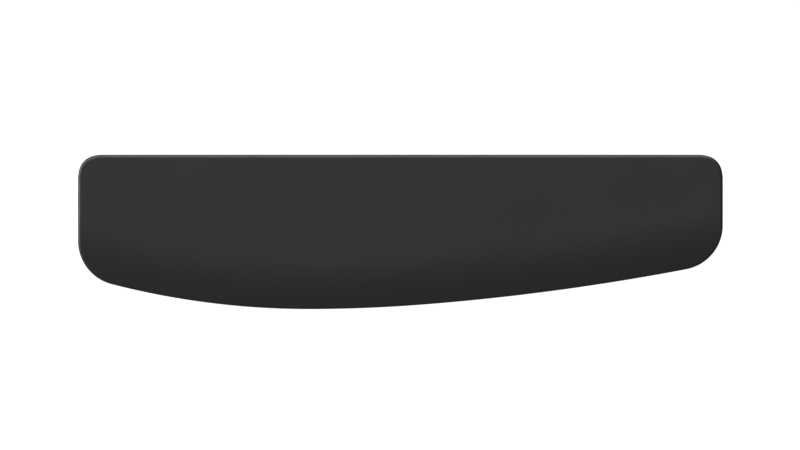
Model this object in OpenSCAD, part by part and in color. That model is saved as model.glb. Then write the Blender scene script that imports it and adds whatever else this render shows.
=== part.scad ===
// Keyboard wrist rest: a leatherette cover wrapped over two layers of foam on a stiff board,
// closed underneath by a moulded base plate that carries six anti-slip feet.
// +X runs to the user's right, +Y points away from the user towards the keyboard, +Z is up.
// The origin is on the desk, under the middle of the rest's length and depth.

/* [Outline] */
// Length, along the keyboard
body_length = 392; // [372:1:430]
// Depth, from the straight back edge to the furthest point of the front edge
body_depth = 94; // [90:0.1:104]
// Furthest point of the front edge, measured from the left end
apex_from_left = 140; // [130:1:160]
// Radius in the middle of the two back corners
back_corner_r = 11.3; // [11:0.1:13]
// Larger radius that leads into each back corner from both sides
back_shoulder_r = 22; // [20:1:30]
// Angle that the larger radius runs through, on each side
back_shoulder_angle = 17; // [10:1:20]
// Radius of the two front corners
front_corner_r = 27; // [22:0.5:30]
// Radius of the front edge to the left of its furthest point
front_left_r = 480; // [460:5:560]
// Radius of the front edge just to the right of its furthest point
front_middle_r = 878; // [800:1:1000]
// Angle that this middle radius runs through
front_middle_angle = 4.25; // [3:0.25:6]
// Radius of the front edge towards the right end
front_right_r = 1446; // [1200:1:1800]

/* [Heights] */
// Height of the flat top above the desk
top_height = 18; // [17:0.5:22]
// Height of the front edge above the desk
front_height = 8.5; // [8.5:0.5:10]
// Distance from the front edge at which the top begins to fall
fall_start = 32; // [28:1:36]
// Distance from the front edge at which the fall reaches its full slope
fall_full = 8; // [4:1:12]
// Rounding at the top and at the bottom of the bevel along the top edge
edge_r = 1.3; // [1.2:0.1:1.4]
// Width and height of the flat bevel between the two roundings
edge_bevel = 0.8; // [0.4:0.1:0.8]
// How much narrower the bevelled edge is at the two ends than at the back
end_tightness = 0.18; // [0:0.01:0.25]
// How much narrower it is along the front edge
front_tightness = 0.4; // [0:0.05:0.45]

/* [Cover] */
// Thickness of the leatherette
cover_t = 0.9; // [0.7:0.1:1]
// Width of the hem that is turned in underneath
hem_width = 10; // [9:0.5:10.5]
// Outer radius where the leatherette folds under
fold_r = 1; // [0.8:0.1:1.2]

/* [Padding and board] */
// Thickness of the board that the cover is stretched over
board_t = 1.2; // [1.2:0.1:1.6]
// Share of the padding's height that is firm foam
firm_share = 0.5; // [0.4:0.05:0.5]
// Thickness of the double-sided tapes
tape_t = 0.15; // [0.1:0.05:0.15]

/* [Base plate] */
// Thickness of the base plate
plate_t = 1; // [0.9:0.1:1.2]
// Set-back of the base plate from the outline
plate_inset = 4.5; // [4:0.5:6]
// Diameter of the pegs that are melted over to hold the plate
peg_d = 3; // [2.5:0.1:3.2]

/* [Feet] */
// Length of one foot
foot_length = 44; // [30:1:52]
// Width of one foot
foot_width = 9; // [8:0.5:10]
// Height that the feet stand proud of the base plate
foot_proud = 0.8; // [0.7:0.1:1.2]
// Depth of the pocket that each foot is glued into
pocket_depth = 0.7; // [0.6:0.1:0.8]
// Distance of the feet's centre lines from the outline
foot_inset = 16.5; // [16.5:0.5:20]

/* [Hidden] */
$fn = 48;

leatherette_black = "#343434";
comfort_foam_grey = "#d9d6cf";
support_foam_grey = "#55575a";
board_grey = "#8b8d8f";
tape_white = "#e8e6dc";
plate_black = "#2a2a2b";
silicone_black = "#1d1d1e";

// Clearances
glue_line = 0.05;      // sprayed adhesive between the cover and what it wraps
rib_gap = 0.05;        // between the plate's ribs and the board
peg_gap = 0.05;        // around a peg, in its hole
sink_gap = 0.1;        // around a peg's melted end, in its countersink
hem_gap = 0.6;         // between the hem and the rib that stands inside it
pocket_gap = 0.2;      // around a foot, in its pocket
through = 1;           // how far a cut runs past what it cuts

// Heights of the layers, from the desk up
plate_z = foot_proud;
pocket_z = plate_z + pocket_depth;
hem_z = plate_z + plate_t;
hem_tape_z = hem_z + cover_t;
board_z = hem_tape_z + tape_t;
core_tape_z = board_z + board_t;
foam_z = core_tape_z + tape_t;

// Centres of the front edge's three arcs, each tangent to the next
apex_x = apex_from_left - body_length / 2;
front_y = -body_depth / 2;
back_y = body_depth / 2;
left_arc_c = [apex_x, front_y + front_left_r];
middle_arc_c = [apex_x, front_y + front_middle_r];
right_arc_c = middle_arc_c
    + (front_middle_r - front_right_r) * [sin(front_middle_angle), -cos(front_middle_angle)];

// Centres of the front corners, each tangent to a side and to the front edge
corner_x = body_length / 2 - front_corner_r;
left_corner_c = [-corner_x, circle_low_y(left_arc_c, front_left_r - front_corner_r, -corner_x)];
right_corner_c = [corner_x, circle_low_y(right_arc_c, front_right_r - front_corner_r, corner_x)];
left_corner_end = 360 + heading(left_corner_c - left_arc_c);
right_corner_start = 360 + heading(right_corner_c - right_arc_c);

// Straight steps that each stretch of the outline is made of
left_arc_steps = 10;
middle_arc_steps = 5;
right_arc_steps = 12;
front_corner_steps = 10;
back_corner_steps = 6;
shoulder_steps = 1;
back_steps = 12;
end_steps = 2;

// The middle line that the rings of the padded solids close in on, inside the flat part of the top
spine_y = 25;
spine_set_back = 30;
spine_half = body_length / 2 - spine_set_back;
ring_shares = [0.2, 0.36, 0.5, 0.6, 0.7, 0.8, 0.9, 1];
edge_profile = [[22.5, 0], [45, 0], [45, 1], [67.5, 1], [90, 1]]; // angle, share of the bevel passed
fold_angles = [90, 45, 0];

// Base plate details
rib_t = 1;
rim_rib_inset = hem_width + hem_gap;
middle_rib_y = 8;
cross_rib_xs = [-100, -33, 33, 100];
boss_wall = 1;
peg_inset = 15;
peg_xs = [-172, -67, 67, 172];
peg_head_lip = 1.2;    // how far a peg's melted end stands out past the peg
peg_head_d = peg_d + 2 * peg_head_lip;
peg_head_h = 0.65;
foot_xs = [-134, 0, 134];
least_corner_r = 0.3;  // of the back corners, where an outline is set in deeper than their radius
groove_w = 1;
groove_depth = 0.4;
groove_spacing = 2.4;
tape_margin = 0.6;     // set-back of each tape from the edge that it holds

// Lowest y of a circle at a given x
function circle_low_y(centre, r, x) = centre.y - sqrt(r ^ 2 - (x - centre.x) ^ 2);
function heading(v) = atan2(v.y, v.x);
function reversed(list) = [for (i = [len(list) - 1:-1:0]) list[i]];

function arc_points(centre, r, from, to, steps) =
    [for (i = [0:steps - 1]) let (a = from + (to - from) * i / steps) centre + r * [cos(a), sin(a)]];
function line_points(from, to, steps) = [for (i = [0:steps - 1]) from + (to - from) * i / steps];

// The same point at the left end
function mirrored(p) = [-p.x, p.y];

// The outline, set in by a distance, anticlockwise from the front edge's furthest point. A back corner is
// three arcs: its shoulder at the side, its middle, and its shoulder at the back.
function outline(inset) =
    let (
        front_r = front_corner_r - inset,
        shoulder_r = back_shoulder_r - inset,
        middle_r = max(back_corner_r - inset, least_corner_r),
        turn = back_shoulder_angle,
        reach = shoulder_r - (shoulder_r - middle_r) * (cos(turn) - sin(turn)),
        side_x = body_length / 2 - inset,
        side_c = [side_x - shoulder_r, back_y - inset - reach],
        middle_c = side_c + (shoulder_r - middle_r) * [cos(turn), sin(turn)],
        back_c = [side_x - reach, back_y - inset - shoulder_r],
        joint = 270 + front_middle_angle
    )
    concat(
        arc_points(middle_arc_c, front_middle_r - inset, 270, joint, middle_arc_steps),
        arc_points(right_arc_c, front_right_r - inset, joint, right_corner_start, right_arc_steps),
        arc_points(right_corner_c, front_r, right_corner_start, 360, front_corner_steps),
        line_points([side_x, right_corner_c.y], [side_x, side_c.y], end_steps),
        arc_points(side_c, shoulder_r, 0, turn, shoulder_steps),
        arc_points(middle_c, middle_r, turn, 90 - turn, back_corner_steps),
        arc_points(back_c, shoulder_r, 90 - turn, 90, shoulder_steps),
        line_points([back_c.x, back_y - inset], [-back_c.x, back_y - inset], back_steps),
        arc_points(mirrored(back_c), shoulder_r, 90, 90 + turn, shoulder_steps),
        arc_points(mirrored(middle_c), middle_r, 90 + turn, 180 - turn, back_corner_steps),
        arc_points(mirrored(side_c), shoulder_r, 180 - turn, 180, shoulder_steps),
        line_points([-side_x, side_c.y], [-side_x, left_corner_c.y], end_steps),
        arc_points(left_corner_c, front_r, 180, left_corner_end, front_corner_steps),
        arc_points(left_arc_c, front_left_r - inset, left_corner_end, 270, left_arc_steps)
    );

// The front edge's arc at a given x, as [centre, radius], set in by a distance
function front_arc(x, inset) =
    x < apex_x ? [left_arc_c, front_left_r - inset]
    : x < apex_x + (front_middle_r - inset) * sin(front_middle_angle)
        ? [middle_arc_c, front_middle_r - inset]
    : [right_arc_c, front_right_r - inset];
function front_edge_y(x, inset = 0) = let (arc = front_arc(x, inset)) circle_low_y(arc[0], arc[1], x);
function front_edge_angle(x, inset) = let (arc = front_arc(x, inset)) asin((x - arc[0].x) / arc[1]);

// How far the top has fallen at a distance from the front edge: a parabola, then a straight slope
full_slope = (top_height - front_height) / ((fall_start - fall_full) / 2 + fall_full);
function fall(d) =
    d >= fall_start ? 0
    : d >= fall_full ? full_slope * (fall_start - d) ^ 2 / (2 * (fall_start - fall_full))
    : full_slope * ((fall_start + fall_full) / 2 - d);
function top_z(p) = top_height - fall(p.y - front_edge_y(p.x));

// The height where the soft foam meets the firm foam
function layer_z(p) = foam_z + firm_share * (top_z(p) - cover_t - glue_line - foam_z);

function spine_point(p) = [max(-spine_half, min(spine_half, p.x)), spine_y];
function towards_spine(p, share) = let (c = spine_point(p)) c + share * (p - c);
function lifted(p, z) = [p.x, p.y, z];
function flat_ring(inset, z) = [for (p = outline(inset)) lifted(p, z)];

// The outline set in by a distance, and by a further reach that is tighter at the ends and the front. Two
// outlines 1 mm apart give the way in at each point.
function edge_outline(inset, reach) =
    let (rim = outline(inset), inner = outline(inset + 1))
    [for (i = [0:len(rim) - 1])
        let (
            inward = inner[i] - rim[i],
            fallen = (top_height - top_z(rim[i])) / (top_height - front_height)
        )
        rim[i] + inward * reach * (1 - end_tightness * abs(inward.x)) * (1 - front_tightness * fallen)];

// Rings over the padded top, from near the spine out to the top of the side wall
function top_rings(inset, drop, r) = concat(
    [for (share = ring_shares) [for (p = edge_outline(inset, r + edge_bevel))
        let (q = towards_spine(p, share)) lifted(q, top_z(q) - drop)]],
    [for (step = edge_profile)
        let (a = step[0], passed = step[1])
        [for (p = edge_outline(inset, r * (1 - sin(a)) + edge_bevel * (1 - passed)))
            lifted(p, top_z(p) - drop - r * (1 - cos(a)) - edge_bevel * passed)]]
);

// Rings over the face between the two foams
function layer_rings(inset) = [for (share = ring_shares) [for (p = outline(inset))
    let (q = towards_spine(p, share)) lifted(q, layer_z(q))]];

// Rings round the fold at the cover's lower edge, from the side wall in to the hem
function fold_rings() = [for (a = fold_angles)
    flat_ring(fold_r * (1 - sin(a)), hem_z + fold_r * (1 - cos(a)))];

// A closed solid through rings of equal length, the first facing up and the last facing down
module ring_solid(rings) {
    n = len(rings[0]);
    polyhedron(
        points = [for (ring = rings) each ring],
        faces = concat(
            [[for (i = [n - 1:-1:0]) i]],
            [for (k = [0:len(rings) - 2], i = [0:n - 1])
                let (j = (i + 1) % n, inner = k * n, outer = inner + n)
                each [[inner + i, inner + j, outer + j], [inner + i, outer + j, outer + i]]],
            [[for (i = [0:n - 1]) (len(rings) - 1) * n + i]]
        )
    );
}

// A sheet of the outline's shape between two heights
module sheet(inset, z, t) {
    translate([0, 0, z]) linear_extrude(t) polygon(outline(inset));
}

// A band of the outline's shape, from one set-back to a deeper one
module band(inset, width, z, t) {
    translate([0, 0, z]) linear_extrude(t) difference() {
        polygon(outline(inset));
        polygon(outline(inset + width));
    }
}

// A bar with round ends, lying along X
module slot_bar(length, width, t) {
    linear_extrude(t) {
        square([length - width, width], center = true);
        for (side = [-1, 1]) translate([side * (length - width) / 2, 0]) circle(d = width);
    }
}

// Where each foot sits: [x, y, angle]
function back_foot(i) = [foot_xs[i], back_y - foot_inset, 0];
function front_foot(i) = [
    foot_xs[i], front_edge_y(foot_xs[i], foot_inset), front_edge_angle(foot_xs[i], foot_inset)
];
foot_places = [back_foot(0), back_foot(1), back_foot(2), front_foot(0), front_foot(1), front_foot(2)];
peg_places = concat(
    [for (x = peg_xs) each [[x, back_y - peg_inset], [x, front_edge_y(x, peg_inset)]]],
    [for (side = [-1, 1]) [side * (body_length / 2 - peg_inset), middle_rib_y]]
);

module at_foot(place) {
    translate([place[0], place[1], 0]) rotate(place[2]) children();
}

// One leatherette skin: the top, the side wall and the hem that is turned in under the board
module cover() {
    color(leatherette_black) ring_solid(concat(
        top_rings(0, 0, edge_r),
        fold_rings(),
        [flat_ring(hem_width, hem_z), flat_ring(hem_width, hem_tape_z), flat_ring(cover_t, hem_tape_z)],
        reversed(top_rings(cover_t, cover_t, edge_r - cover_t))
    ));
}

// Soft foam that shapes the top and its rounded edge
module comfort_foam() {
    wrap = cover_t + glue_line;
    color(comfort_foam_grey) ring_solid(concat(
        top_rings(wrap, wrap, edge_r - wrap),
        reversed(layer_rings(wrap))
    ));
}

// Firm foam block, flat underneath and cut to the top's shape above
module support_foam() {
    wrap = cover_t + glue_line;
    color(support_foam_grey) ring_solid(concat(
        layer_rings(wrap),
        [flat_ring(wrap, foam_z)]
    ));
}

// Double-sided sheet that holds the foam to the board
module core_tape() {
    color(tape_white) sheet(cover_t + glue_line + tape_margin, core_tape_z, tape_t);
}

// Stiff board with countersunk holes for the pegs
module stiffener_board() {
    head_r = peg_head_d / 2 + sink_gap;
    hole_r = peg_d / 2 + peg_gap;
    sink_h = peg_head_h + 2 * peg_gap;
    color(board_grey) difference() {
        sheet(cover_t + glue_line, board_z, board_t);
        for (p = peg_places) translate([p.x, p.y, board_z]) {
            translate([0, 0, -through]) cylinder(r = hole_r, h = board_t + 2 * through);
            translate([0, 0, board_t - sink_h]) cylinder(r1 = hole_r, r2 = head_r, h = sink_h);
        }
    }
}

// Double-sided band that holds the hem to the underside of the board
module hem_tape() {
    start = cover_t + glue_line + tape_margin;
    color(tape_white) band(start, hem_width - tape_margin - start, hem_tape_z, tape_t);
}

// Moulded plate that hides the hem, with ribs, foot pockets and melted-over pegs
module base_plate() {
    color(plate_black) difference() {
        union() {
            sheet(plate_inset, plate_z, plate_t);
            plate_ribs();
            for (place = foot_places) at_foot(place) translate([0, 0, plate_z])
                pocket_shape(boss_wall, pocket_depth + plate_t);
            for (p = peg_places) translate([p.x, p.y, plate_z]) peg();
        }
        for (place = foot_places) at_foot(place) translate([0, 0, plate_z - through])
            pocket_shape(0, pocket_depth + through);
    }
}

module plate_ribs() {
    rib_h = board_z - rib_gap - plate_z;
    band(rim_rib_inset, rib_t, plate_z, rib_h);
    intersection() {
        sheet(rim_rib_inset, plate_z, rib_h);
        union() {
            translate([-body_length / 2, middle_rib_y - rib_t / 2, plate_z])
                cube([body_length, rib_t, rib_h]);
            for (x = cross_rib_xs) translate([x - rib_t / 2, front_y, plate_z])
                cube([rib_t, body_depth, rib_h]);
        }
    }
}

module pocket_shape(wall, h) {
    grow = 2 * (pocket_gap + wall);
    slot_bar(foot_length + grow, foot_width + grow, h);
}

// A peg whose end is melted into a flat countersunk head, flush inside the board
module peg() {
    top = core_tape_z - peg_gap - plate_z;
    cylinder(d = peg_d, h = top);
    translate([0, 0, top - peg_head_h]) cylinder(d1 = peg_d, d2 = peg_head_d, h = peg_head_h);
}

// Anti-slip foot with two shallow grooves along its length
module foot(place) {
    color(silicone_black) at_foot(place) difference() {
        slot_bar(foot_length, foot_width, pocket_z - tape_t);
        for (side = [-1, 1]) translate([0, side * groove_spacing / 2, -through])
            slot_bar(foot_length - foot_width, groove_w, groove_depth + through);
    }
}

// Adhesive pad that holds one foot in its pocket
module foot_tape(place) {
    color(tape_white) at_foot(place) translate([0, 0, pocket_z - tape_t])
        slot_bar(foot_length - 2 * tape_margin, foot_width - 2 * tape_margin, tape_t);
}

cover();
comfort_foam();
support_foam();
core_tape();
stiffener_board();
hem_tape();
base_plate();
foot(foot_places[0]);  // foot_back_left
foot(foot_places[1]);  // foot_back_middle
foot(foot_places[2]);  // foot_back_right
foot(foot_places[3]);  // foot_front_left
foot(foot_places[4]);  // foot_front_middle
foot(foot_places[5]);  // foot_front_right
foot_tape(foot_places[0]);  // foot_tape_back_left
foot_tape(foot_places[1]);  // foot_tape_back_middle
foot_tape(foot_places[2]);  // foot_tape_back_right
foot_tape(foot_places[3]);  // foot_tape_front_left
foot_tape(foot_places[4]);  // foot_tape_front_middle
foot_tape(foot_places[5]);  // foot_tape_front_right
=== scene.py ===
"""Looks of a keyboard wrist rest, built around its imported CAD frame.

Lengths are in metres and positions are in the frame's axes: +X runs to the user's right, +Y towards the
keyboard and +Z up from the desk. Every piece stands in the space that its CAD node holds.
"""

import math
from collections import namedtuple

import bmesh
import bpy
import numpy as np
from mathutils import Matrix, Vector


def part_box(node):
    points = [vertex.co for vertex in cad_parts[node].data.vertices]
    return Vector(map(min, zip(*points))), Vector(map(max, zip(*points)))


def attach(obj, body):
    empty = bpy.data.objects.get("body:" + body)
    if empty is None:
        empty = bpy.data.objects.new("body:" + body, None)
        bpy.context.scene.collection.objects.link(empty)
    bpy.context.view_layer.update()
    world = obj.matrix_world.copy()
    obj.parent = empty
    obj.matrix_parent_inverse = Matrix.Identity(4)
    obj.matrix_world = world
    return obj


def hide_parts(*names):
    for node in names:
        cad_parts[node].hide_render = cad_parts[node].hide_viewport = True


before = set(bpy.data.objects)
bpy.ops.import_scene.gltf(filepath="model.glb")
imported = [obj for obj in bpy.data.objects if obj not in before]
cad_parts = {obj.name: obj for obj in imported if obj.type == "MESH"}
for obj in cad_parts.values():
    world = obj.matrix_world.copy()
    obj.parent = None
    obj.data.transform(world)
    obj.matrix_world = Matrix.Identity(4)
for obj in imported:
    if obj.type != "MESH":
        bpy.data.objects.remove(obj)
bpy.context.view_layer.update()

MM = 0.001


# ---------------------------------------------------------------- sizes taken from the frame


def low(node):
    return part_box(node)[0]


def high(node):
    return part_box(node)[1]


HALF_LENGTH = high("cover").x
BACK_Y = high("cover").y
FRONT_Y = low("cover").y
TOP_Z = high("cover").z
HEM_Z = low("cover").z
HEM_TAPE_Z = low("hem_tape").z
FOAM_Z = low("support_foam").z
PLATE_Z = low("base_plate").z
PLATE_INSET = high("cover").x - high("base_plate").x
COVER_T = HEM_TAPE_Z - HEM_Z
WRAP = high("cover").x - high("comfort_foam").x  # cover and glue, from the outline to the foam

# ---------------------------------------------------------------- sizes that the frame's boxes don't tell

APEX_X = -56 * MM  # furthest point of the front edge
BACK_CORNER_R = 11.3 * MM  # in the middle of a back corner
BACK_SHOULDER_R = 22 * MM  # leading into it from both sides
BACK_SHOULDER_TURN = math.radians(17)
LEAST_CORNER_R = 0.3 * MM  # of the back corners, where an outline is set in deeper than their radius
FRONT_CORNER_R = 27 * MM
FRONT_LEFT_R = 480 * MM
FRONT_MIDDLE_R = 878 * MM
FRONT_RIGHT_R = 1446 * MM
FRONT_MIDDLE_ANGLE = math.radians(4.25)

FRONT_Z = 8.5 * MM  # height of the front edge
FALL_START = 32 * MM  # from the front edge, where the top begins to fall
FALL_FULL = 8 * MM  # and where it reaches its full slope
EDGE_R = 1.3 * MM  # roundings above and below the bevel along the top edge
EDGE_BEVEL = 0.8 * MM  # its width and its height
END_TIGHTNESS = 0.18  # how much narrower the bevelled edge is at the ends than at the back
FRONT_TIGHTNESS = 0.4  # and along the front
FOLD_R = 1 * MM  # where the skin turns under
HEM_WIDTH = 10 * MM
FIRM_SHARE = 0.5  # of the padding's height

SPINE_Y = 10 * MM  # the middle line that the rings of a padded piece close in on
SPINE_HALF = 164 * MM

# ---------------------------------------------------------------- the outline


def unit(angle):
    return np.array([math.cos(angle), math.sin(angle)])


def circle_low_y(centre, r, x):
    """y of a circle's lower half at x."""
    return centre[1] - np.sqrt(r**2 - (x - centre[0]) ** 2)


def heading(v):
    return math.atan2(v[1], v[0])


left_arc_c = np.array([APEX_X, FRONT_Y + FRONT_LEFT_R])
middle_arc_c = np.array([APEX_X, FRONT_Y + FRONT_MIDDLE_R])
right_arc_c = middle_arc_c + (FRONT_MIDDLE_R - FRONT_RIGHT_R) * unit(FRONT_MIDDLE_ANGLE - math.pi / 2)
corner_x = HALF_LENGTH - FRONT_CORNER_R
left_corner_c = np.array([-corner_x, circle_low_y(left_arc_c, FRONT_LEFT_R - FRONT_CORNER_R, -corner_x)])
right_corner_c = np.array([corner_x, circle_low_y(right_arc_c, FRONT_RIGHT_R - FRONT_CORNER_R, corner_x)])
left_joint = heading(left_corner_c - left_arc_c)  # where each front corner meets the front edge
right_joint = heading(right_corner_c - right_arc_c)


def front_edge_y(x, inset=0.0):
    """y of the front edge at x, set in by a distance, with the three arcs run on past the corners."""
    x = np.asarray(x, float)
    left = circle_low_y(left_arc_c, FRONT_LEFT_R - inset, x)
    middle = circle_low_y(middle_arc_c, FRONT_MIDDLE_R - inset, x)
    right = circle_low_y(right_arc_c, FRONT_RIGHT_R - inset, x)
    joint_x = APEX_X + (FRONT_MIDDLE_R - inset) * math.sin(FRONT_MIDDLE_ANGLE)
    return np.where(x < APEX_X, left, np.where(x < joint_x, middle, right))


def arc(centre, r, start, end, steps):
    """Points on an arc, the last one left out."""
    angles = start + (end - start) * np.arange(steps) / steps
    return centre + r * np.stack([np.cos(angles), np.sin(angles)], 1)


def line(start, end, steps):
    """Points on a line, the last one left out."""
    share = (np.arange(steps) / steps)[:, None]
    return np.asarray(start) + (np.asarray(end) - np.asarray(start)) * share


class BackCorner:
    """The right back corner, set in by a distance.

    It has three arcs: a shoulder at the side, the middle, and a shoulder at the back.
    """

    def __init__(self, inset):
        turn = BACK_SHOULDER_TURN
        corner = np.array([HALF_LENGTH - inset, BACK_Y - inset])
        self.shoulder_r = BACK_SHOULDER_R - inset
        self.middle_r = max(BACK_CORNER_R - inset, LEAST_CORNER_R)
        drop = self.shoulder_r - self.middle_r
        reach = self.shoulder_r - drop * (math.cos(turn) - math.sin(turn))
        self.side_c = corner - [self.shoulder_r, reach]
        self.middle_c = self.side_c + drop * unit(turn)
        self.back_c = corner - [reach, self.shoulder_r]


MIRROR = np.array([-1, 1])  # takes a point to the left end
UP, LEFT = math.pi / 2, math.pi  # headings from a corner's centre

# How many steps each stretch of the outline gets
Density = namedtuple("Density", "long_side back_shoulder back_corner front_corner end")
FINE = Density(long_side=84, back_shoulder=6, back_corner=20, front_corner=36, end=10)
PLAIN = Density(long_side=90, back_shoulder=3, back_corner=10, front_corner=20, end=8)
JOINT_STEPS = 3


def outline(inset, density):
    """The outline set in by a distance, anticlockwise from the front left.

    The points of the front and the back edge pair up in x.
    """
    back, turn = BackCorner(inset), BACK_SHOULDER_TURN
    front_r = FRONT_CORNER_R - inset
    side_x, back_y = HALF_LENGTH - inset, BACK_Y - inset
    front_x = np.linspace(-SPINE_HALF, SPINE_HALF, density.long_side + 1)
    front = np.stack([front_x, front_edge_y(front_x, inset)], 1)
    right_start = heading(front[-1] - right_arc_c)
    left_end = heading(front[0] - left_arc_c)
    return np.concatenate(
        [
            front[:-1],
            arc(right_arc_c, FRONT_RIGHT_R - inset, right_start, right_joint, JOINT_STEPS),
            arc(right_corner_c, front_r, right_joint, 0, density.front_corner),
            line([side_x, right_corner_c[1]], [side_x, back.side_c[1]], density.end),
            arc(back.side_c, back.shoulder_r, 0, turn, density.back_shoulder),
            arc(back.middle_c, back.middle_r, turn, UP - turn, density.back_corner),
            arc(back.back_c, back.shoulder_r, UP - turn, UP, density.back_shoulder),
            line([back.back_c[0], back_y], [SPINE_HALF, back_y], JOINT_STEPS),
            line([SPINE_HALF, back_y], [-SPINE_HALF, back_y], density.long_side),
            line([-SPINE_HALF, back_y], [-back.back_c[0], back_y], JOINT_STEPS),
            arc(back.back_c * MIRROR, back.shoulder_r, UP, UP + turn, density.back_shoulder),
            arc(back.middle_c * MIRROR, back.middle_r, UP + turn, LEFT - turn, density.back_corner),
            arc(back.side_c * MIRROR, back.shoulder_r, LEFT - turn, LEFT, density.back_shoulder),
            line([-side_x, back.side_c[1]], [-side_x, left_corner_c[1]], density.end),
            arc(left_corner_c, front_r, -math.pi, left_joint, density.front_corner),
            arc(left_arc_c, FRONT_LEFT_R - inset, left_joint, left_end, JOINT_STEPS),
        ]
    )


FULL_SLOPE = (TOP_Z - FRONT_Z) / ((FALL_START - FALL_FULL) / 2 + FALL_FULL)


def top_z(points):
    """Height of the padded top over each point: flat, then a parabola, then a straight slope to the front."""
    d = points[:, 1] - front_edge_y(points[:, 0])
    curved = FULL_SLOPE * (FALL_START - d) ** 2 / (2 * (FALL_START - FALL_FULL))
    straight = FULL_SLOPE * ((FALL_START + FALL_FULL) / 2 - d)
    return TOP_Z - np.where(d >= FALL_START, 0, np.where(d >= FALL_FULL, curved, straight))


def layer_z(points):
    """Height where the soft foam meets the firm foam."""
    return FOAM_Z + FIRM_SHARE * (top_z(points) - WRAP - FOAM_Z)


def towards_spine(points, share):
    """Points drawn in to the spine, to a share of their distance from it."""
    spine = np.stack(
        [np.clip(points[:, 0], -SPINE_HALF, SPINE_HALF), np.full(len(points), SPINE_Y)], 1
    )
    return spine + share * (points - spine)


def lifted(points, z):
    """Points of the plan, given their height."""
    return np.column_stack([points, np.broadcast_to(z, len(points))])


def flat_ring(inset, z, density):
    return lifted(outline(inset, density), z)


# ---------------------------------------------------------------- meshes


MERGE_WITHIN = 0.001 * MM  # points closer than this are one
NO_LENGTH = 0.0001 * MM  # edges shorter than this are dropped


def new_object(name, mesh):
    obj = bpy.data.objects.new(name, mesh)
    bpy.context.scene.collection.objects.link(obj)
    mesh.shade_smooth()
    return obj


def ring_object(name, rings):
    """A skin through rings of equal length. A ring drawn in to the spine is merged into one line."""
    n = len(rings[0])
    bm = bmesh.new()
    vertices = [[bm.verts.new(p) for p in ring] for ring in rings]
    for inner, outer in zip(vertices, vertices[1:]):
        for i in range(n):
            j = (i + 1) % n
            bm.faces.new([inner[i], outer[i], outer[j], inner[j]])
    bmesh.ops.remove_doubles(bm, verts=bm.verts, dist=MERGE_WITHIN)
    bmesh.ops.dissolve_degenerate(bm, edges=bm.edges, dist=NO_LENGTH)
    bmesh.ops.recalc_face_normals(bm, faces=bm.faces)
    mesh = bpy.data.meshes.new(name)
    bm.to_mesh(mesh)
    bm.free()
    return new_object(name, mesh)


def edge_outline(inset, reach, density):
    """The outline set in by a distance, and by a further reach that is tighter at the ends and the front."""
    rim, probe = outline(inset, density), 1 * MM
    inward = (outline(inset + probe, density) - rim) / probe
    fallen = (TOP_Z - top_z(rim)) / (TOP_Z - FRONT_Z)
    tightened = (1 - END_TIGHTNESS * abs(inward[:, 0])) * (1 - FRONT_TIGHTNESS * fallen)
    return rim + inward * (reach * tightened)[:, None]


# The top edge, as angles in degrees and the share of the bevel that is passed
EDGE_PROFILE = [(15, 0), (30, 0), (45, 0), (45, 0.5), (45, 1), (60, 1), (75, 1), (90, 1)]


def top_rings(inset, drop, r, density, steps):
    """Rings over the padded top, from the spine out, and round its edge to the top of the side wall."""
    inner = edge_outline(inset, r + EDGE_BEVEL, density)
    rings = []
    for share in np.linspace(0, 1, steps + 1):
        q = towards_spine(inner, share)
        rings.append(lifted(q, top_z(q) - drop))
    for degrees, passed in EDGE_PROFILE:
        angle = math.radians(degrees)
        reach = r * (1 - math.sin(angle)) + EDGE_BEVEL * (1 - passed)
        fall = r * (1 - math.cos(angle)) + EDGE_BEVEL * passed
        p = edge_outline(inset, reach, density)
        rings.append(lifted(p, top_z(p) - drop - fall))
    return rings


def layer_rings(inset, density, steps):
    """Rings over the face between the two foams, from the spine out."""
    p = outline(inset, density)
    rings = []
    for share in np.linspace(0, 1, steps + 1):
        q = towards_spine(p, share)
        rings.append(lifted(q, layer_z(q)))
    return rings


def between(upper, lower, steps):
    """Rings of a side wall, without its two ends."""
    return [upper + (lower - upper) * k / steps for k in range(1, steps)]


# ---------------------------------------------------------------- materials


FACTOR, COLOUR_A, COLOUR_B, COLOUR_RESULT = 0, 6, 7, 2  # a Mix node's colour sockets, which share their names


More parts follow.
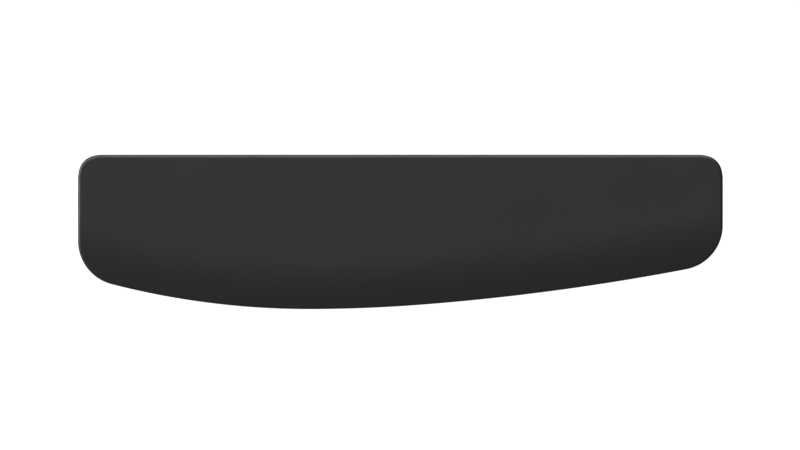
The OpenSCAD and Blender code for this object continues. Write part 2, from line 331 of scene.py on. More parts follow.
class Finish:
    """A procedural material, built up node by node in the object's own coordinates."""

    def __init__(self, name, colour, roughness, specular):
        self.material = bpy.data.materials.new(name)
        self.material.use_nodes = True
        self.tree = self.material.node_tree
        self.shader = self.tree.nodes["Principled BSDF"]
        self.colour = colour
        self.shader.inputs["Base Color"].default_value = (*colour, 1)
        self.shader.inputs["Roughness"].default_value = roughness
        self.shader.inputs["Specular IOR Level"].default_value = specular
        self.place = self.add("ShaderNodeTexCoord").outputs["Object"]

    def add(self, kind, inputs=None, **settings):
        node = self.tree.nodes.new(kind)
        for key, value in settings.items():
            setattr(node, key, value)
        for key, value in (inputs or {}).items():
            if isinstance(value, bpy.types.NodeSocket):
                self.tree.links.new(value, node.inputs[key])
            else:
                node.inputs[key].default_value = value
        return node

    def stretched(self, x, y, z):
        """The object's coordinates, scaled along each axis."""
        inputs = {"Vector": self.place, "Scale": (x, y, z)}
        return self.add("ShaderNodeMapping", inputs).outputs["Vector"]

    def warped(self, size, amount):
        """The object's coordinates, pushed about by a noise of the given size."""
        noise = self.add("ShaderNodeTexNoise", {"Vector": self.place, "Scale": 1 / size, "Detail": 2.0})
        centred = self.add(
            "ShaderNodeVectorMath",
            {0: noise.outputs["Color"], 1: (0.5, 0.5, 0.5)},
            operation="SUBTRACT",
        )
        scaled = self.add("ShaderNodeVectorMath", {0: centred.outputs[0], "Scale": amount}, operation="SCALE")
        moved = self.add("ShaderNodeVectorMath", {0: self.place, 1: scaled.outputs[0]}, operation="ADD")
        return moved.outputs[0]

    def noise(self, size, detail=2.0, vector=None):
        inputs = {"Vector": vector or self.place, "Scale": 1 / size, "Detail": detail}
        return self.add("ShaderNodeTexNoise", inputs).outputs["Fac"]

    def cells(self, size, feature="F1", vector=None):
        inputs = {"Vector": vector or self.place, "Scale": 1 / size}
        return self.add("ShaderNodeTexVoronoi", inputs, feature=feature).outputs["Distance"]

    def ranged(self, value, source, target):
        """value, mapped smoothly from the source range to the target range and held at its ends."""
        inputs = {
            "Value": value,
            "From Min": source[0],
            "From Max": source[1],
            "To Min": target[0],
            "To Max": target[1],
        }
        node = self.add("ShaderNodeMapRange", inputs, interpolation_type="SMOOTHSTEP")
        return node.outputs["Result"]

    def maths(self, operation, a, b):
        return self.add("ShaderNodeMath", {0: a, 1: b}, operation=operation).outputs[0]

    def attribute(self, name):
        return self.add("ShaderNodeAttribute", attribute_name=name).outputs["Fac"]

    def tint(self, share, dark, light):
        """Colours the surface from dark times the base colour to light times it."""
        return self.blend(share, self.shaded(dark), self.shaded(light))

    def blend(self, share, a, b):
        """Two colours, mixed by a share from 0 to 1."""
        mix = self.add("ShaderNodeMix", {FACTOR: share, COLOUR_A: a, COLOUR_B: b}, data_type="RGBA")
        return mix.outputs[COLOUR_RESULT]

    def shaded(self, share):
        """The base colour, times a share."""
        return tuple(c * share for c in self.colour) + (1,)

    def set_colour(self, socket):
        self.tree.links.new(socket, self.shader.inputs["Base Color"])

    def set_roughness(self, socket):
        self.tree.links.new(socket, self.shader.inputs["Roughness"])

    def bump(self, *layers):
        """Adds layers of relief, each a height from 0 to 1 and the depth that it stands for."""
        normal = None
        for height, depth in layers:
            inputs = {"Height": height, "Distance": depth, "Strength": 1.0}
            if normal:
                inputs["Normal"] = normal
            normal = self.add("ShaderNodeBump", inputs).outputs["Normal"]
        self.tree.links.new(normal, self.shader.inputs["Normal"])


def leatherette():
    """Matt black leatherette: fine pebbles between creases, with painted shade in the creases, a trace of
    orange peel and of polish.
    """
    finish = Finish("leatherette", (0.0167, 0.0167, 0.0167), roughness=0.55, specular=0.5)
    skin = finish.warped(2.5 * MM, 0.6 * MM)
    pebbles = finish.ranged(finish.cells(0.55 * MM, "F1", skin), (0.0, 0.75), (1.0, 0.0))
    creases = finish.ranged(finish.cells(1.1 * MM, "DISTANCE_TO_EDGE", skin), (0.0, 0.16), (0.0, 1.0))
    pores = finish.noise(0.12 * MM, 1.0)
    peel = finish.noise(9 * MM, 1.0)
    patches = finish.noise(45 * MM, 3.0)
    finish.bump((peel, 0.02 * MM), (creases, 0.018 * MM), (pebbles, 0.012 * MM), (pores, 0.003 * MM))
    mottled = finish.tint(patches, dark=0.94, light=1.06)
    # painted shade: the bottoms of the creases are darkened to 0.8 of the base colour
    finish.set_colour(finish.blend(creases, finish.shaded(0.8), mottled))
    polish = finish.maths("MULTIPLY", finish.attribute("wrist_polish"), -0.05)
    finish.set_roughness(finish.maths("ADD", finish.ranged(patches, (0.3, 0.7), (0.53, 0.58)), polish))
    return finish.material


def moulded_plastic():
    """Black plastic out of a spark-eroded mould, a little glossier where it flowed last."""
    finish = Finish("moulded_plastic", (0.019, 0.019, 0.0195), roughness=0.5, specular=0.5)
    sparks = finish.noise(0.22 * MM, 3.0)
    pits = finish.ranged(finish.cells(0.4 * MM), (0.0, 0.5), (0.0, 1.0))
    flow = finish.noise(30 * MM, 4.0, finish.stretched(0.35, 1, 1))
    finish.bump((sparks, 0.02 * MM), (pits, 0.012 * MM))
    finish.set_colour(finish.tint(flow, dark=0.9, light=1.12))
    finish.set_roughness(finish.ranged(flow, (0.3, 0.7), (0.46, 0.58)))
    return finish.material


def silicone():
    """Soft black silicone with a fine moulded texture and a few specks of desk dust."""
    finish = Finish("silicone", (0.012, 0.012, 0.0125), roughness=0.6, specular=0.4)
    texture = finish.noise(0.15 * MM, 2.0)
    waves = finish.noise(6 * MM, 2.0)
    dust = finish.ranged(finish.noise(0.5 * MM, 3.0), (0.68, 0.78), (0.0, 0.25))
    finish.bump((waves, 0.01 * MM), (texture, 0.01 * MM))
    clean = finish.tint(waves, dark=0.9, light=1.1)
    finish.set_colour(finish.blend(dust, clean, (0.16, 0.15, 0.14, 1)))
    finish.set_roughness(finish.ranged(waves, (0.3, 0.7), (0.56, 0.66)))
    return finish.material


def open_cell_foam():
    """Off-white slow-recovery foam: small open cells, a few large ones, painted shade in their hollows, and
    slightly yellowed patches.
    """
    finish = Finish("comfort_foam", (0.66, 0.63, 0.56), roughness=0.95, specular=0.15)
    uneven = finish.warped(3 * MM, 0.5 * MM)
    cells = finish.ranged(finish.cells(0.8 * MM, "F1", uneven), (0.05, 0.6), (0.0, 1.0))
    blow_holes = finish.ranged(finish.cells(7 * MM), (0.06, 0.13), (0.0, 1.0))
    patches = finish.noise(30 * MM, 3.0)
    finish.bump((blow_holes, 0.3 * MM), (cells, 0.12 * MM))
    # painted shade: the hollows of the cells and of the blow holes are darkened to 0.66 of the base colour
    solid = finish.maths("MULTIPLY", cells, blow_holes)
    mottled = finish.tint(patches, dark=0.93, light=1.05)
    finish.set_colour(finish.blend(solid, finish.shaded(0.66), mottled))
    return finish.material


def closed_cell_foam():
    """Dark grey firm foam with fine closed cells, painted shade in their hollows, and the drag marks of the
    blade that cut it.
    """
    finish = Finish("support_foam", (0.075, 0.078, 0.082), roughness=0.85, specular=0.25)
    cells = finish.ranged(finish.cells(0.45 * MM), (0.05, 0.55), (0.0, 1.0))
    blade = finish.noise(1.2 * MM, 2.0, finish.stretched(0.04, 1, 1))
    finish.bump((blade, 0.08 * MM), (cells, 0.08 * MM))
    # painted shade: the cell hollows are darkened to 0.6 to 0.7 of the base colour, the skin between them is
    # not
    painted_shade_hollow, skin = finish.tint(blade, dark=0.6, light=0.7), finish.tint(blade, dark=0.92, light=1.1)
    finish.set_colour(finish.blend(cells, painted_shade_hollow, skin))
    return finish.material


def tape():
    """Double-sided tape: an off-white carrier with long fibres and small bubbles of trapped air."""
    finish = Finish("tape", (0.72, 0.69, 0.6), roughness=0.5, specular=0.4)
    fibres = finish.noise(0.5 * MM, 4.0, finish.stretched(0.12, 1, 1))
    bubbles = finish.ranged(finish.cells(5 * MM), (0.1, 0.16), (1.0, 0.0))
    finish.bump((bubbles, 0.05 * MM), (fibres, 0.01 * MM))
    finish.set_colour(finish.tint(fibres, dark=0.9, light=1.08))
    finish.set_roughness(finish.ranged(bubbles, (0.0, 1.0), (0.52, 0.3)))
    return finish.material


def sheet_board():
    """Mid-grey plastic sheet with faint extrusion lines along its length and a few scuffs."""
    finish = Finish("board", (0.22, 0.225, 0.235), roughness=0.42, specular=0.45)
    lines = finish.noise(0.8 * MM, 2.0, finish.stretched(0.01, 1, 1))
    scuffs = finish.ranged(finish.noise(6 * MM, 6.0, finish.stretched(1, 0.2, 1)), (0.58, 0.66), (0.0, 1.0))
    finish.bump((lines, 0.02 * MM), (scuffs, 0.01 * MM))
    clean = finish.tint(lines, dark=0.95, light=1.05)
    finish.set_colour(finish.blend(scuffs, clean, (0.3, 0.305, 0.31, 1)))
    finish.set_roughness(finish.ranged(scuffs, (0.0, 1.0), (0.4, 0.6)))
    return finish.material


# ---------------------------------------------------------------- the padded pieces


def apply_modifiers(obj):
    """Gives obj the mesh that its modifiers make, and drops the modifiers."""
    evaluated = obj.evaluated_get(bpy.context.evaluated_depsgraph_get())
    mesh = bpy.data.meshes.new_from_object(evaluated)
    obj.modifiers.clear()
    obj.data = mesh
    mesh.name = obj.name


def positions(mesh):
    flat = np.empty(len(mesh.vertices) * 3, np.float32)
    mesh.vertices.foreach_get("co", flat)
    return flat.reshape(-1, 3).astype(float)


def place(mesh, points):
    mesh.vertices.foreach_set("co", points.astype(np.float32).ravel())
    mesh.update()


def normals(mesh):
    flat = np.empty(len(mesh.vertices) * 3, np.float32)
    mesh.vertex_normals.foreach_get("vector", flat)
    return flat.reshape(-1, 3).astype(float)


def smoothstep(value, start, end):
    t = np.clip((value - start) / (end - start), 0, 1)
    return t * t * (3 - 2 * t)


def relax(mesh, moves, passes):
    """Evens out the vertices' moves with their neighbours', so that no ripple of the cloth is left."""
    edges = np.empty(len(mesh.edges) * 2, np.int32)
    mesh.edges.foreach_get("vertices", edges)
    a, b = edges.reshape(-1, 2).T
    count = np.bincount(edges, minlength=len(moves))[:, None]
    for _ in range(passes):
        total = np.zeros_like(moves)
        np.add.at(total, a, moves[b])
        np.add.at(total, b, moves[a])
        moves = 0.5 * moves + 0.5 * total / count
    return moves


PUFF_CAP = 0.3 * MM  # the skin is stretched taut, so the foam lifts it by no more than this
PINNED_BELOW = HEM_Z + 1.6 * MM  # the hem and the fold stay where they are
SIMULATED_FRAMES = 20
RELAX_PASSES = 6


def puff(obj):
    """Blows the skin up from inside, as cloth held at its hem, and keeps that swelling, scaled to the cap."""
    mesh = obj.data
    before = positions(mesh)
    held = np.nonzero(before[:, 2] < PINNED_BELOW)[0]
    pins = obj.vertex_groups.new(name="held_by_hem")
    pins.add(held.tolist(), 1.0, "REPLACE")
    cloth = obj.modifiers.new("cloth", "CLOTH")
    settings = cloth.settings
    settings.vertex_group_mass = pins.name
    settings.quality = 6
    settings.mass = 0.15
    settings.tension_stiffness = settings.compression_stiffness = 60
    settings.shear_stiffness = 30
    settings.bending_stiffness = 4
    settings.effector_weights.gravity = 0
    settings.use_pressure = True
    settings.uniform_pressure_force = 4
    cloth.collision_settings.use_collision = False
    scene = bpy.context.scene
    for number in range(1, SIMULATED_FRAMES + 1):
        scene.frame_set(number)
    evaluated = obj.evaluated_get(bpy.context.evaluated_depsgraph_get())
    moves = relax(mesh, positions(evaluated.data) - before, RELAX_PASSES)
    obj.modifiers.clear()
    obj.vertex_groups.clear()
    scene.frame_set(1)
    furthest = np.linalg.norm(moves, axis=1).max()
    print("puff: the cloth moved up to %.2f mm" % (furthest / MM))
    place(mesh, before + moves * min(1.0, PUFF_CAP / furthest))


BACK_GATHERS, FRONT_GATHERS = 8, 11
CORNERS = [  # centre, radius, first and last angle, number of gathers in the hem
    (BackCorner(0).middle_c, BACK_CORNER_R, 0, UP, BACK_GATHERS),
    (BackCorner(0).middle_c * MIRROR, BACK_CORNER_R, UP, LEFT, BACK_GATHERS),
    (left_corner_c, FRONT_CORNER_R, -math.pi, left_joint, FRONT_GATHERS),
    (right_corner_c, FRONT_CORNER_R, right_joint, 0, FRONT_GATHERS),
]
SLACK = 0.5 * MM  # how far outside a corner's arc its skin may lie
UNEVENNESS = 0.18  # how far a gather strays from its even place, as a share of a gather
STRAY_WAVES = 2.3  # how often the straying changes sides in a corner
FADE_POWER = 0.7  # how quickly the gathers fade towards a corner's ends

PLEAT_HEIGHT = 0.34 * MM  # of the gathers underneath
PLEAT_POWER = 1.5  # makes their ridges narrower than their valleys
PLEAT_START, PLEAT_RISEN = 0.5 * MM, 1.6 * MM  # set-backs between which they rise
PLEAT_SINKS = 3.4 * MM  # and from which they sink, to lie flat under the plate
UNDERSIDE_BELOW = HEM_Z + 0.3 * MM

PUCKER_DEPTH = 0.07 * MM  # of the dimples that the gathers leave in the wall above them
PUCKER_FADES, PUCKER_ENDS = HEM_Z + 0.6 * MM, HEM_Z + 3.2 * MM


def gather(mesh):
    """Gathers the turned-under hem at the corners, where a flat skin has cloth to spare."""
    points, outward = positions(mesh), normals(mesh)
    for number, (centre, radius, start, end, gathers) in enumerate(CORNERS):
        arm = points[:, :2] - centre
        turn = (np.arctan2(arm[:, 1], arm[:, 0]) - start) / (end - start)
        inset = radius - np.hypot(arm[:, 0], arm[:, 1])
        inside = (turn > 0) & (turn < 1) & (inset > -SLACK)
        stray = UNEVENNESS * np.sin(2 * math.pi * turn * STRAY_WAVES + number)
        ridge = 0.5 + 0.5 * np.sin(2 * math.pi * (gathers * turn + stray))
        fade = np.sin(math.pi * np.clip(turn, 0, 1)) ** FADE_POWER
        underneath = (points[:, 2] < UNDERSIDE_BELOW) & (inset > PLEAT_START)
        rise = smoothstep(inset, PLEAT_START, PLEAT_RISEN) * (1 - smoothstep(inset, PLEAT_SINKS, PLATE_INSET))
        pleat = PLEAT_HEIGHT * rise * ridge**PLEAT_POWER
        pucker = PUCKER_DEPTH * (1 - smoothstep(points[:, 2], PUCKER_FADES, PUCKER_ENDS)) * (ridge - 1)
        points += outward * (np.where(underneath, pleat, pucker) * fade * inside)[:, None]
    place(mesh, points)


RUB_START, RUB_FULL = 4 * MM, 16 * MM  # distances from the front edge at which the rubbing sets in
RUB_EASES, RUB_END = 30 * MM, 55 * MM  # and at which it ends
WRIST_XS = (-110 * MM, 0, 130 * MM)
WRIST_REACH = 55 * MM
RUBBED_ABOVE = HEM_Z + 2 * MM


def mark_wrist_polish(mesh):
    """Stores where wrists rub the top, from 0 to 1, for the leatherette's roughness."""
    points = positions(mesh)
    x, z = points[:, 0], points[:, 2]
    from_front = points[:, 1] - front_edge_y(x)
    across = smoothstep(from_front, RUB_START, RUB_FULL) * (1 - smoothstep(from_front, RUB_EASES, RUB_END))
    along = sum(np.exp(-(((x - wrist_x) / WRIST_REACH) ** 2)) for wrist_x in WRIST_XS)
    rubbed = across * np.clip(along, 0, 1) * (z > RUBBED_ABOVE)
    layer = mesh.attributes.new("wrist_polish", "FLOAT", "POINT")
    layer.data.foreach_set("value", rubbed.astype(np.float32))


QUARTER = np.radians([0, 22.5, 45, 67.5, 90])  # the steps of a rounded edge


def fold_rings():
    """Rings round the fold under the side wall, from the wall in to the hem."""
    return [
        flat_ring(FOLD_R * (1 - math.sin(a)), HEM_Z + FOLD_R * (1 - math.cos(a)), FINE)
        for a in QUARTER[::-1]
    ]


def hem_rings():
    """Rings over the hem, from just inside the fold to its edge."""
    start, count = 1.8 * MM, 8
    return [flat_ring(inset, HEM_Z, FINE) for inset in np.linspace(start, HEM_WIDTH, count)]


def make_cover():
    """The whole skin: top, edge, side wall, fold and hem, swollen, gathered and given its thickness."""
    rings = top_rings(0, 0, EDGE_R, FINE, steps=11)
    fold = fold_rings()
    wall = between(rings[-1], fold[0], steps=5)
    cover = ring_object("cover_skin", rings + wall + fold + hem_rings())
    puff(cover)
    smooth = cover.modifiers.new("smooth", "SUBSURF")
    smooth.levels = smooth.render_levels = 1
    apply_modifiers(cover)
    gather(cover.data)
    mark_wrist_polish(cover.data)
    thickness = cover.modifiers.new("thickness", "SOLIDIFY")
    thickness.thickness = COVER_T
    thickness.offset = -1
    apply_modifiers(cover)
    cover.data.shade_smooth()
    return cover


def make_comfort_foam():
    """The soft foam: the cover's shape, set in by its thickness, down to the firm foam."""
    over = top_rings(WRAP, WRAP, EDGE_R - WRAP, PLAIN, steps=14)
    under = layer_rings(WRAP, PLAIN, steps=10)[::-1]
    return ring_object("comfort_foam_pad", over + between(over[-1], under[0], steps=3) + under)


def make_support_foam():
    """The firm foam: flat underneath, and following the soft foam above."""
    over = layer_rings(WRAP, PLAIN, steps=14)
    rim = outline(WRAP, PLAIN)
    under = [lifted(towards_spine(rim, share), FOAM_Z) for share in np.linspace(1, 0, 6)]
    return ring_object("support_foam_block", over + between(over[-1], under[0], steps=4) + under)


# ---------------------------------------------------------------- moulded pieces


class Slab:
    """A closed moulding between two heights, built ring by ring with rounded edges."""

    def __init__(self, name):
        self.name, self.bm = name, bmesh.new()

    def ring(self, points, z):
        return [self.bm.verts.new((x, y, z)) for x, y in points]

    def strip(self, rings):
        """Walls through rings of equal length, given as (points, z). Returns the first and last ring."""
        made = [self.ring(points, z) for points, z in rings]
        for a, b in zip(made, made[1:]):
            for i in range(len(a)):
                j = (i + 1) % len(a)
                self.bm.faces.new([a[i], a[j], b[j], b[i]])
        return made[0], made[-1]

    def fill(self, *rings):
        """A flat face inside the first ring and outside the others."""
        edges = []
        for ring in rings:
            for i, vertex in enumerate(ring):
                pair = (vertex, ring[(i + 1) % len(ring)])
                edges.append(self.bm.edges.get(pair) or self.bm.edges.new(pair))
        bmesh.ops.triangle_fill(self.bm, use_beauty=True, use_dissolve=False, edges=edges)

    def finish(self):
        bmesh.ops.recalc_face_normals(self.bm, faces=self.bm.faces)
        mesh = bpy.data.meshes.new(self.name)
        self.bm.to_mesh(mesh)
        self.bm.free()
        return new_object(self.name, mesh)


def outer_edge(loop, z, r, up):
    """Rings round a slab's outer edge, from the face at z to the wall.

    loop(grow) gives its outline, grown by a distance. up is 1 at the bottom and -1 at the top.
    """
    return [(loop(-r * (1 - math.sin(a))), z + up * r * (1 - math.cos(a))) for a in QUARTER]


def pocket_rings(loop, z, depth, lip_r, floor_r):
    """Rings of a pocket cut upwards from z: rounded lip, wall and rounded floor."""
    lip = [(loop(lip_r * (1 - math.sin(a))), z + lip_r * (1 - math.cos(a))) for a in QUARTER]
    floor = [(loop(-floor_r * (1 - math.cos(a))), z + depth - floor_r * (1 - math.sin(a))) for a in QUARTER]
    return lip + floor


def stadium(centre, angle, length, width, steps=14):
    """Outline of a bar with round ends, as a function of how much it is grown."""

    def loop(grow):
        along, across = unit(angle), unit(angle + math.pi / 2)
        half, r = (length - width) / 2, width / 2 + grow
        points = []
        for side in (1, -1):
            for k in range(steps + 1):
                a = math.pi * k / steps - math.pi / 2
                points.append(centre + side * (along * (half + r * math.cos(a)) + across * r * math.sin(a)))
        return np.array(points)

    return loop


def front_edge_angle(x, inset):
    """Heading of the front edge at x, set in by a distance."""
    step = 1 * MM
    return math.atan2(front_edge_y(x + step, inset) - front_edge_y(x - step, inset), 2 * step)


FOOT_NODES = [f"foot_{row}_{side}" for row in ("back", "front") for side in ("left", "middle", "right")]
FOOT_EDGE_R = 0.35 * MM  # where it meets the desk
FOOT_LENGTH = high("foot_back_left").x - low("foot_back_left").x
FOOT_WIDTH = high("foot_back_left").y - low("foot_back_left").y
FOOT_TOP = high("foot_back_left").z
FOOT_INSET = BACK_Y - (high("foot_back_left").y + low("foot_back_left").y) / 2
POCKET_TOP = high("foot_tape_back_left").z
POCKET_GAP = 0.2 * MM  # around a foot, in its pocket
POCKET_LIP_R, POCKET_FLOOR_R = 0.2 * MM, 0.15 * MM
BOSS_WALL = 1 * MM
SEAT_EDGE_R = 0.1 * MM  # of the plate's and the feet's upper edges
PLATE_EDGE_R = 0.45 * MM  # of the plate's lower edge
PLATE_T = HEM_Z - PLATE_Z
RIB_T = 1 * MM
RIB_GAP = 0.05 * MM  # between the ribs and the board
RIB_TOP = low("stiffener_board").z - RIB_GAP
HEM_GAP = 0.6 * MM  # between the hem and the rib that stands inside it
RIM_RIB_INSET = HEM_WIDTH + HEM_GAP
MIDDLE_RIB_Y = 8 * MM
CROSS_RIB_XS = (-100 * MM, -33 * MM, 33 * MM, 100 * MM)
PEG_R = 1.5 * MM
PEG_HEAD_R = 2.7 * MM
PEG_HEAD_H = 0.65 * MM
PEG_TOP = high("base_plate").z
PEG_CHAMFER_H, PEG_CHAMFER_W = 0.05 * MM, 0.1 * MM  # round the top of the melted end
PEG_STEPS = 32
PEG_INSET = 15 * MM
PEG_XS = (-172 * MM, -67 * MM, 67 * MM, 172 * MM)


def foot_place(node):
    """Centre and angle of a foot. The front feet follow the front edge."""
    centre = ((low(node) + high(node)) / 2).xy
    angle = front_edge_angle(centre.x, FOOT_INSET) if "front" in node else 0.0
    return np.array(centre), angle


def plate_rim(grow):
    return outline(PLATE_INSET - grow, PLAIN)


def prism(name, points, z_low, z_high):
    """A plain upright prism, for joining to the plate."""
    slab = Slab(name)
    bottom, top = slab.strip([(points, z_low), (points, z_high)])
    slab.fill(bottom)
    slab.fill(top)
    return slab.finish()


def bar(name, x_low, x_high, y_low, y_high):
    """A rib that stands on the plate."""
    corners = [(x_low, y_low), (x_high, y_low), (x_high, y_high), (x_low, y_high)]
    return prism(name, np.array(corners), PLATE_Z + PLATE_T / 2, RIB_TOP)


def make_ribs():
    """The ribs that stand on the plate's inner side: a rim, a middle rib and four cross ribs."""
    rim = Slab("rim_rib")
    outer, inner = outline(RIM_RIB_INSET, PLAIN), outline(RIM_RIB_INSET + RIB_T, PLAIN)
    out_low, out_high = rim.strip([(outer, PLATE_Z + PLATE_T / 2), (outer, RIB_TOP)])
    in_low, in_high = rim.strip([(inner, PLATE_Z + PLATE_T / 2), (inner, RIB_TOP)])
    rim.fill(out_low, in_low)
    rim.fill(out_high, in_high)
    reach = RIM_RIB_INSET + RIB_T / 2
    end_x = HALF_LENGTH - reach
    middle = bar("middle_rib", -end_x, end_x, MIDDLE_RIB_Y - RIB_T / 2, MIDDLE_RIB_Y + RIB_T / 2)
    ribs = [rim.finish(), middle]
    for x in CROSS_RIB_XS:
        y_low = float(front_edge_y(x, reach))
        ribs.append(bar("cross_rib", x - RIB_T / 2, x + RIB_T / 2, y_low, BACK_Y - reach))
    return ribs


def make_pegs():
    """The pegs whose ends are melted over, each turned from its profile."""
    centres = [(x, y) for x in PEG_XS for y in (BACK_Y - PEG_INSET, float(front_edge_y(x, PEG_INSET)))]
    centres += [(side * (HALF_LENGTH - PEG_INSET), MIDDLE_RIB_Y) for side in (-1, 1)]
    profile = [
        (PEG_R, PLATE_Z + PLATE_T / 2),
        (PEG_R, PEG_TOP - PEG_HEAD_H),
        (PEG_HEAD_R, PEG_TOP - PEG_CHAMFER_H),
        (PEG_HEAD_R - PEG_CHAMFER_W, PEG_TOP),
    ]
    circle = np.array([unit(2 * math.pi * k / PEG_STEPS) for k in range(PEG_STEPS)])
    pegs = []
    for centre in centres:
        peg = Slab("peg")
        bottom, top = peg.strip([(centre + circle * r, z) for r, z in profile])
        peg.fill(bottom)
        peg.fill(top)
        pegs.append(peg.finish())
    return pegs


def joined_to(obj, others):
    """Unites obj with the others as one closed solid."""
    for other in others:
        union = obj.modifiers.new("union", "BOOLEAN")
        union.operation, union.solver, union.object = "UNION", "EXACT", other
    apply_modifiers(obj)
    for other in others:
        bpy.data.objects.remove(other)
    return obj


SHARP_FROM = math.radians(50)


def with_flat_faces(obj):
    """Keeps flat faces flat next to rounded edges."""
    obj.data.shade_smooth()
    modifier = obj.modifiers.new("flat_faces", "WEIGHTED_NORMAL")
    modifier.mode, modifier.weight, modifier.keep_sharp = "FACE_AREA", 100, True
    obj.data.set_sharp_from_angle(angle=SHARP_FROM)
    return obj


def make_base_plate():
    """The moulded underside: a flange over the hem, six pockets with bosses behind them, ribs and pegs."""
    plate = Slab("base_plate_moulding")
    pockets, bosses = [], []
    for node in FOOT_NODES:
        centre, angle = foot_place(node)
        loop = stadium(centre, angle, FOOT_LENGTH + 2 * POCKET_GAP, FOOT_WIDTH + 2 * POCKET_GAP)
        depth = POCKET_TOP - PLATE_Z
        mouth, floor = plate.strip(pocket_rings(loop, PLATE_Z, depth, POCKET_LIP_R, POCKET_FLOOR_R))
        plate.fill(floor)
        pockets.append(mouth)
        wall = loop(BOSS_WALL)
        foot, crown = plate.strip([(wall, HEM_Z), (wall, POCKET_TOP + PLATE_T)])
        plate.fill(crown)
        bosses.append(foot)
    under = outer_edge(plate_rim, PLATE_Z, PLATE_EDGE_R, up=1)
    over = outer_edge(plate_rim, HEM_Z, SEAT_EDGE_R, up=-1)[::-1]
    first, last = plate.strip(under + over)
    plate.fill(first, *pockets)
    plate.fill(last, *bosses)
    moulding = joined_to(plate.finish(), make_ribs() + make_pegs())
    return with_flat_faces(moulding)


GROOVE_W = 1 * MM
GROOVE_DEPTH = 0.4 * MM
GROOVE_SPACING = 2.4 * MM
GROOVE_LIP_R, GROOVE_FLOOR_R = 0.12 * MM, 0.25 * MM


def make_foot(node):
    """One anti-slip foot with rounded edges and two shallow grooves along it."""
    centre, angle = foot_place(node)
    foot = Slab(node + "_pad")
    body = stadium(centre, angle, FOOT_LENGTH, FOOT_WIDTH)
    grooves = []
    for side in (-1, 1):
        middle = centre + unit(angle + math.pi / 2) * side * GROOVE_SPACING / 2
        loop = stadium(middle, angle, FOOT_LENGTH - FOOT_WIDTH, GROOVE_W)
        mouth, floor = foot.strip(pocket_rings(loop, 0, GROOVE_DEPTH, GROOVE_LIP_R, GROOVE_FLOOR_R))
        foot.fill(floor)
        grooves.append(mouth)
    under = outer_edge(body, 0, FOOT_EDGE_R, up=1)
    over = outer_edge(body, FOOT_TOP, SEAT_EDGE_R, up=-1)[::-1]
    first, last = foot.strip(under + over)
    foot.fill(first, *grooves)
    foot.fill(last)
    return with_flat_faces(foot.finish())


# ---------------------------------------------------------------- putting the pieces in the frame


def paint(obj, material):
    obj.data.materials.clear()
    obj.data.materials.append(material)


def install(piece, material, slot, *nodes):
    """Gives a piece its material and its place in the frame, where it stands for the nodes."""
    paint(piece, material)
    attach(piece, "root")
    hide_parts(*nodes)
    return piece


cover = install(make_cover(), leatherette(), "leatherette", "cover")
comfort_foam = install(make_comfort_foam(), open_cell_foam(), "comfort_foam", "comfort_foam")
support_foam = install(make_support_foam(), closed_cell_foam(), "support_foam", "support_foam")

install(make_base_plate(), moulded_plastic(), "base_plastic", "base_plate")
foot_finish = silicone()
for foot_node in FOOT_NODES:
    install(make_foot(foot_node), foot_finish, "foot_silicone", foot_node)

tape_finish = tape()
for name, cad_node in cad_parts.items():
    if "tape" in name:
        paint(cad_node, tape_finish)
paint(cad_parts["stiffener_board"], sheet_board())

# ---------------------------------------------------------------- stage, light and camera


def area_light(name, direction, elevation, distance, size, power):
    """A soft light, seen from the object at a direction and an elevation.

    The direction is in degrees from +Y, clockwise from above. The light faces the object.
    """
    turn, rise = math.radians(direction), math.radians(elevation)
    position = distance * Vector(
        (math.sin(turn) * math.cos(rise), math.cos(turn) * math.cos(rise), math.sin(rise))
    )
    light = bpy.data.lights.new(name, "AREA")
    light.shape, light.energy = "RECTANGLE", power
    light.size, light.size_y = size
    obj = bpy.data.objects.new(name, light)
    bpy.context.scene.collection.objects.link(obj)
    obj.location = position
    obj.rotation_euler = (-position).to_track_quat("-Z", "Y").to_euler()
    obj.visible_camera = False


SIDE_LIGHTS = [  # name, direction, elevation, power
    ("rear_strip", 0, 4, 41),
    ("left_strip", -90, 4, 40),
    ("rear_left_strip", -60, 4, 42),
    ("rear_left_softbox", -30, 30, 26),
    ("front_softbox", 180, 75, 2),
    ("front_right_softbox", 150, 40, 3.2),
]
area_light("overhead", direction=0, elevation=90, distance=1.6, size=(1.6, 1.2), power=3.8)
for light_name, direction, elevation, power in SIDE_LIGHTS:
    area_light(light_name, direction, elevation, distance=2.5, size=(3.0, 0.3), power=power)


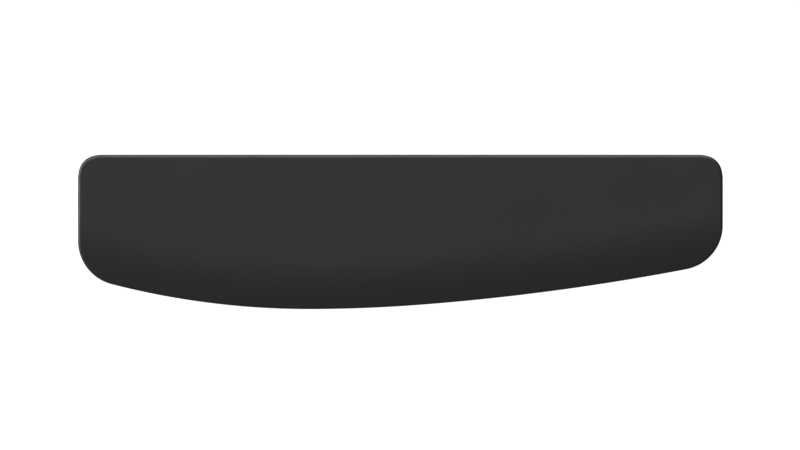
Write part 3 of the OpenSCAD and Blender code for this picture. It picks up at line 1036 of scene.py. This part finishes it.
def make_world(strength):
    """An even white light from all round, in front of a white backdrop."""
    world = bpy.data.worlds.new("studio")
    bpy.context.scene.world = world
    world.use_nodes = True
    tree = world.node_tree
    fill = tree.nodes["Background"]
    fill.inputs["Color"].default_value = (1, 1, 1, 1)
    fill.inputs["Strength"].default_value = strength
    backdrop = tree.nodes.new("ShaderNodeBackground")
    backdrop.inputs["Color"].default_value = (1, 1, 1, 1)
    path = tree.nodes.new("ShaderNodeLightPath")
    mix = tree.nodes.new("ShaderNodeMixShader")
    tree.links.new(path.outputs["Is Camera Ray"], mix.inputs[0])
    tree.links.new(fill.outputs[0], mix.inputs[1])
    tree.links.new(backdrop.outputs[0], mix.inputs[2])
    tree.links.new(mix.outputs[0], tree.nodes["World Output"].inputs["Surface"])


make_world(strength=0.21)


def make_floor(half_size, albedo, glow):
    """A pale floor. Its glow stands for the studio's over-exposed white, and lights nothing else."""
    mesh = bpy.data.meshes.new("floor")
    corners = [(x * half_size, y * half_size, 0) for x, y in ((-1, -1), (1, -1), (1, 1), (-1, 1))]
    mesh.from_pydata(corners, [], [(0, 1, 2, 3)])
    floor = bpy.data.objects.new("floor", mesh)
    bpy.context.scene.collection.objects.link(floor)
    material = bpy.data.materials.new("floor")
    material.use_nodes = True
    shader = material.node_tree.nodes["Principled BSDF"]
    shader.inputs["Base Color"].default_value = (albedo, albedo, albedo, 1)
    shader.inputs["Roughness"].default_value = 0.9
    shader.inputs["Specular IOR Level"].default_value = 0.1
    shader.inputs["Emission Color"].default_value = (1, 1, 1, 1)
    shader.inputs["Emission Strength"].default_value = glow
    mesh.materials.append(material)
    floor.visible_diffuse = floor.visible_glossy = False


make_floor(half_size=20.0, albedo=0.6, glow=0.9)

VIEW_WIDTH = 486.23 * MM  # what the picture spans at the height of the rest's widest line
VIEW_CENTRE = (-0.235 * MM, 4.21 * MM)
VIEW_Z = TOP_Z - EDGE_R - EDGE_BEVEL
CAMERA_DISTANCE = 8.0


def make_camera():
    """A camera that looks straight down."""
    camera = bpy.data.objects.new("camera", bpy.data.cameras.new("camera"))
    bpy.context.scene.collection.objects.link(camera)
    bpy.context.scene.camera = camera
    camera.data.lens = camera.data.sensor_width * CAMERA_DISTANCE / VIEW_WIDTH
    camera.data.clip_end = 100
    camera.location = (*VIEW_CENTRE, VIEW_Z + CAMERA_DISTANCE)


make_camera()
bpy.context.scene.view_settings.view_transform = "Standard"
bpy.context.scene.view_settings.look = "None"
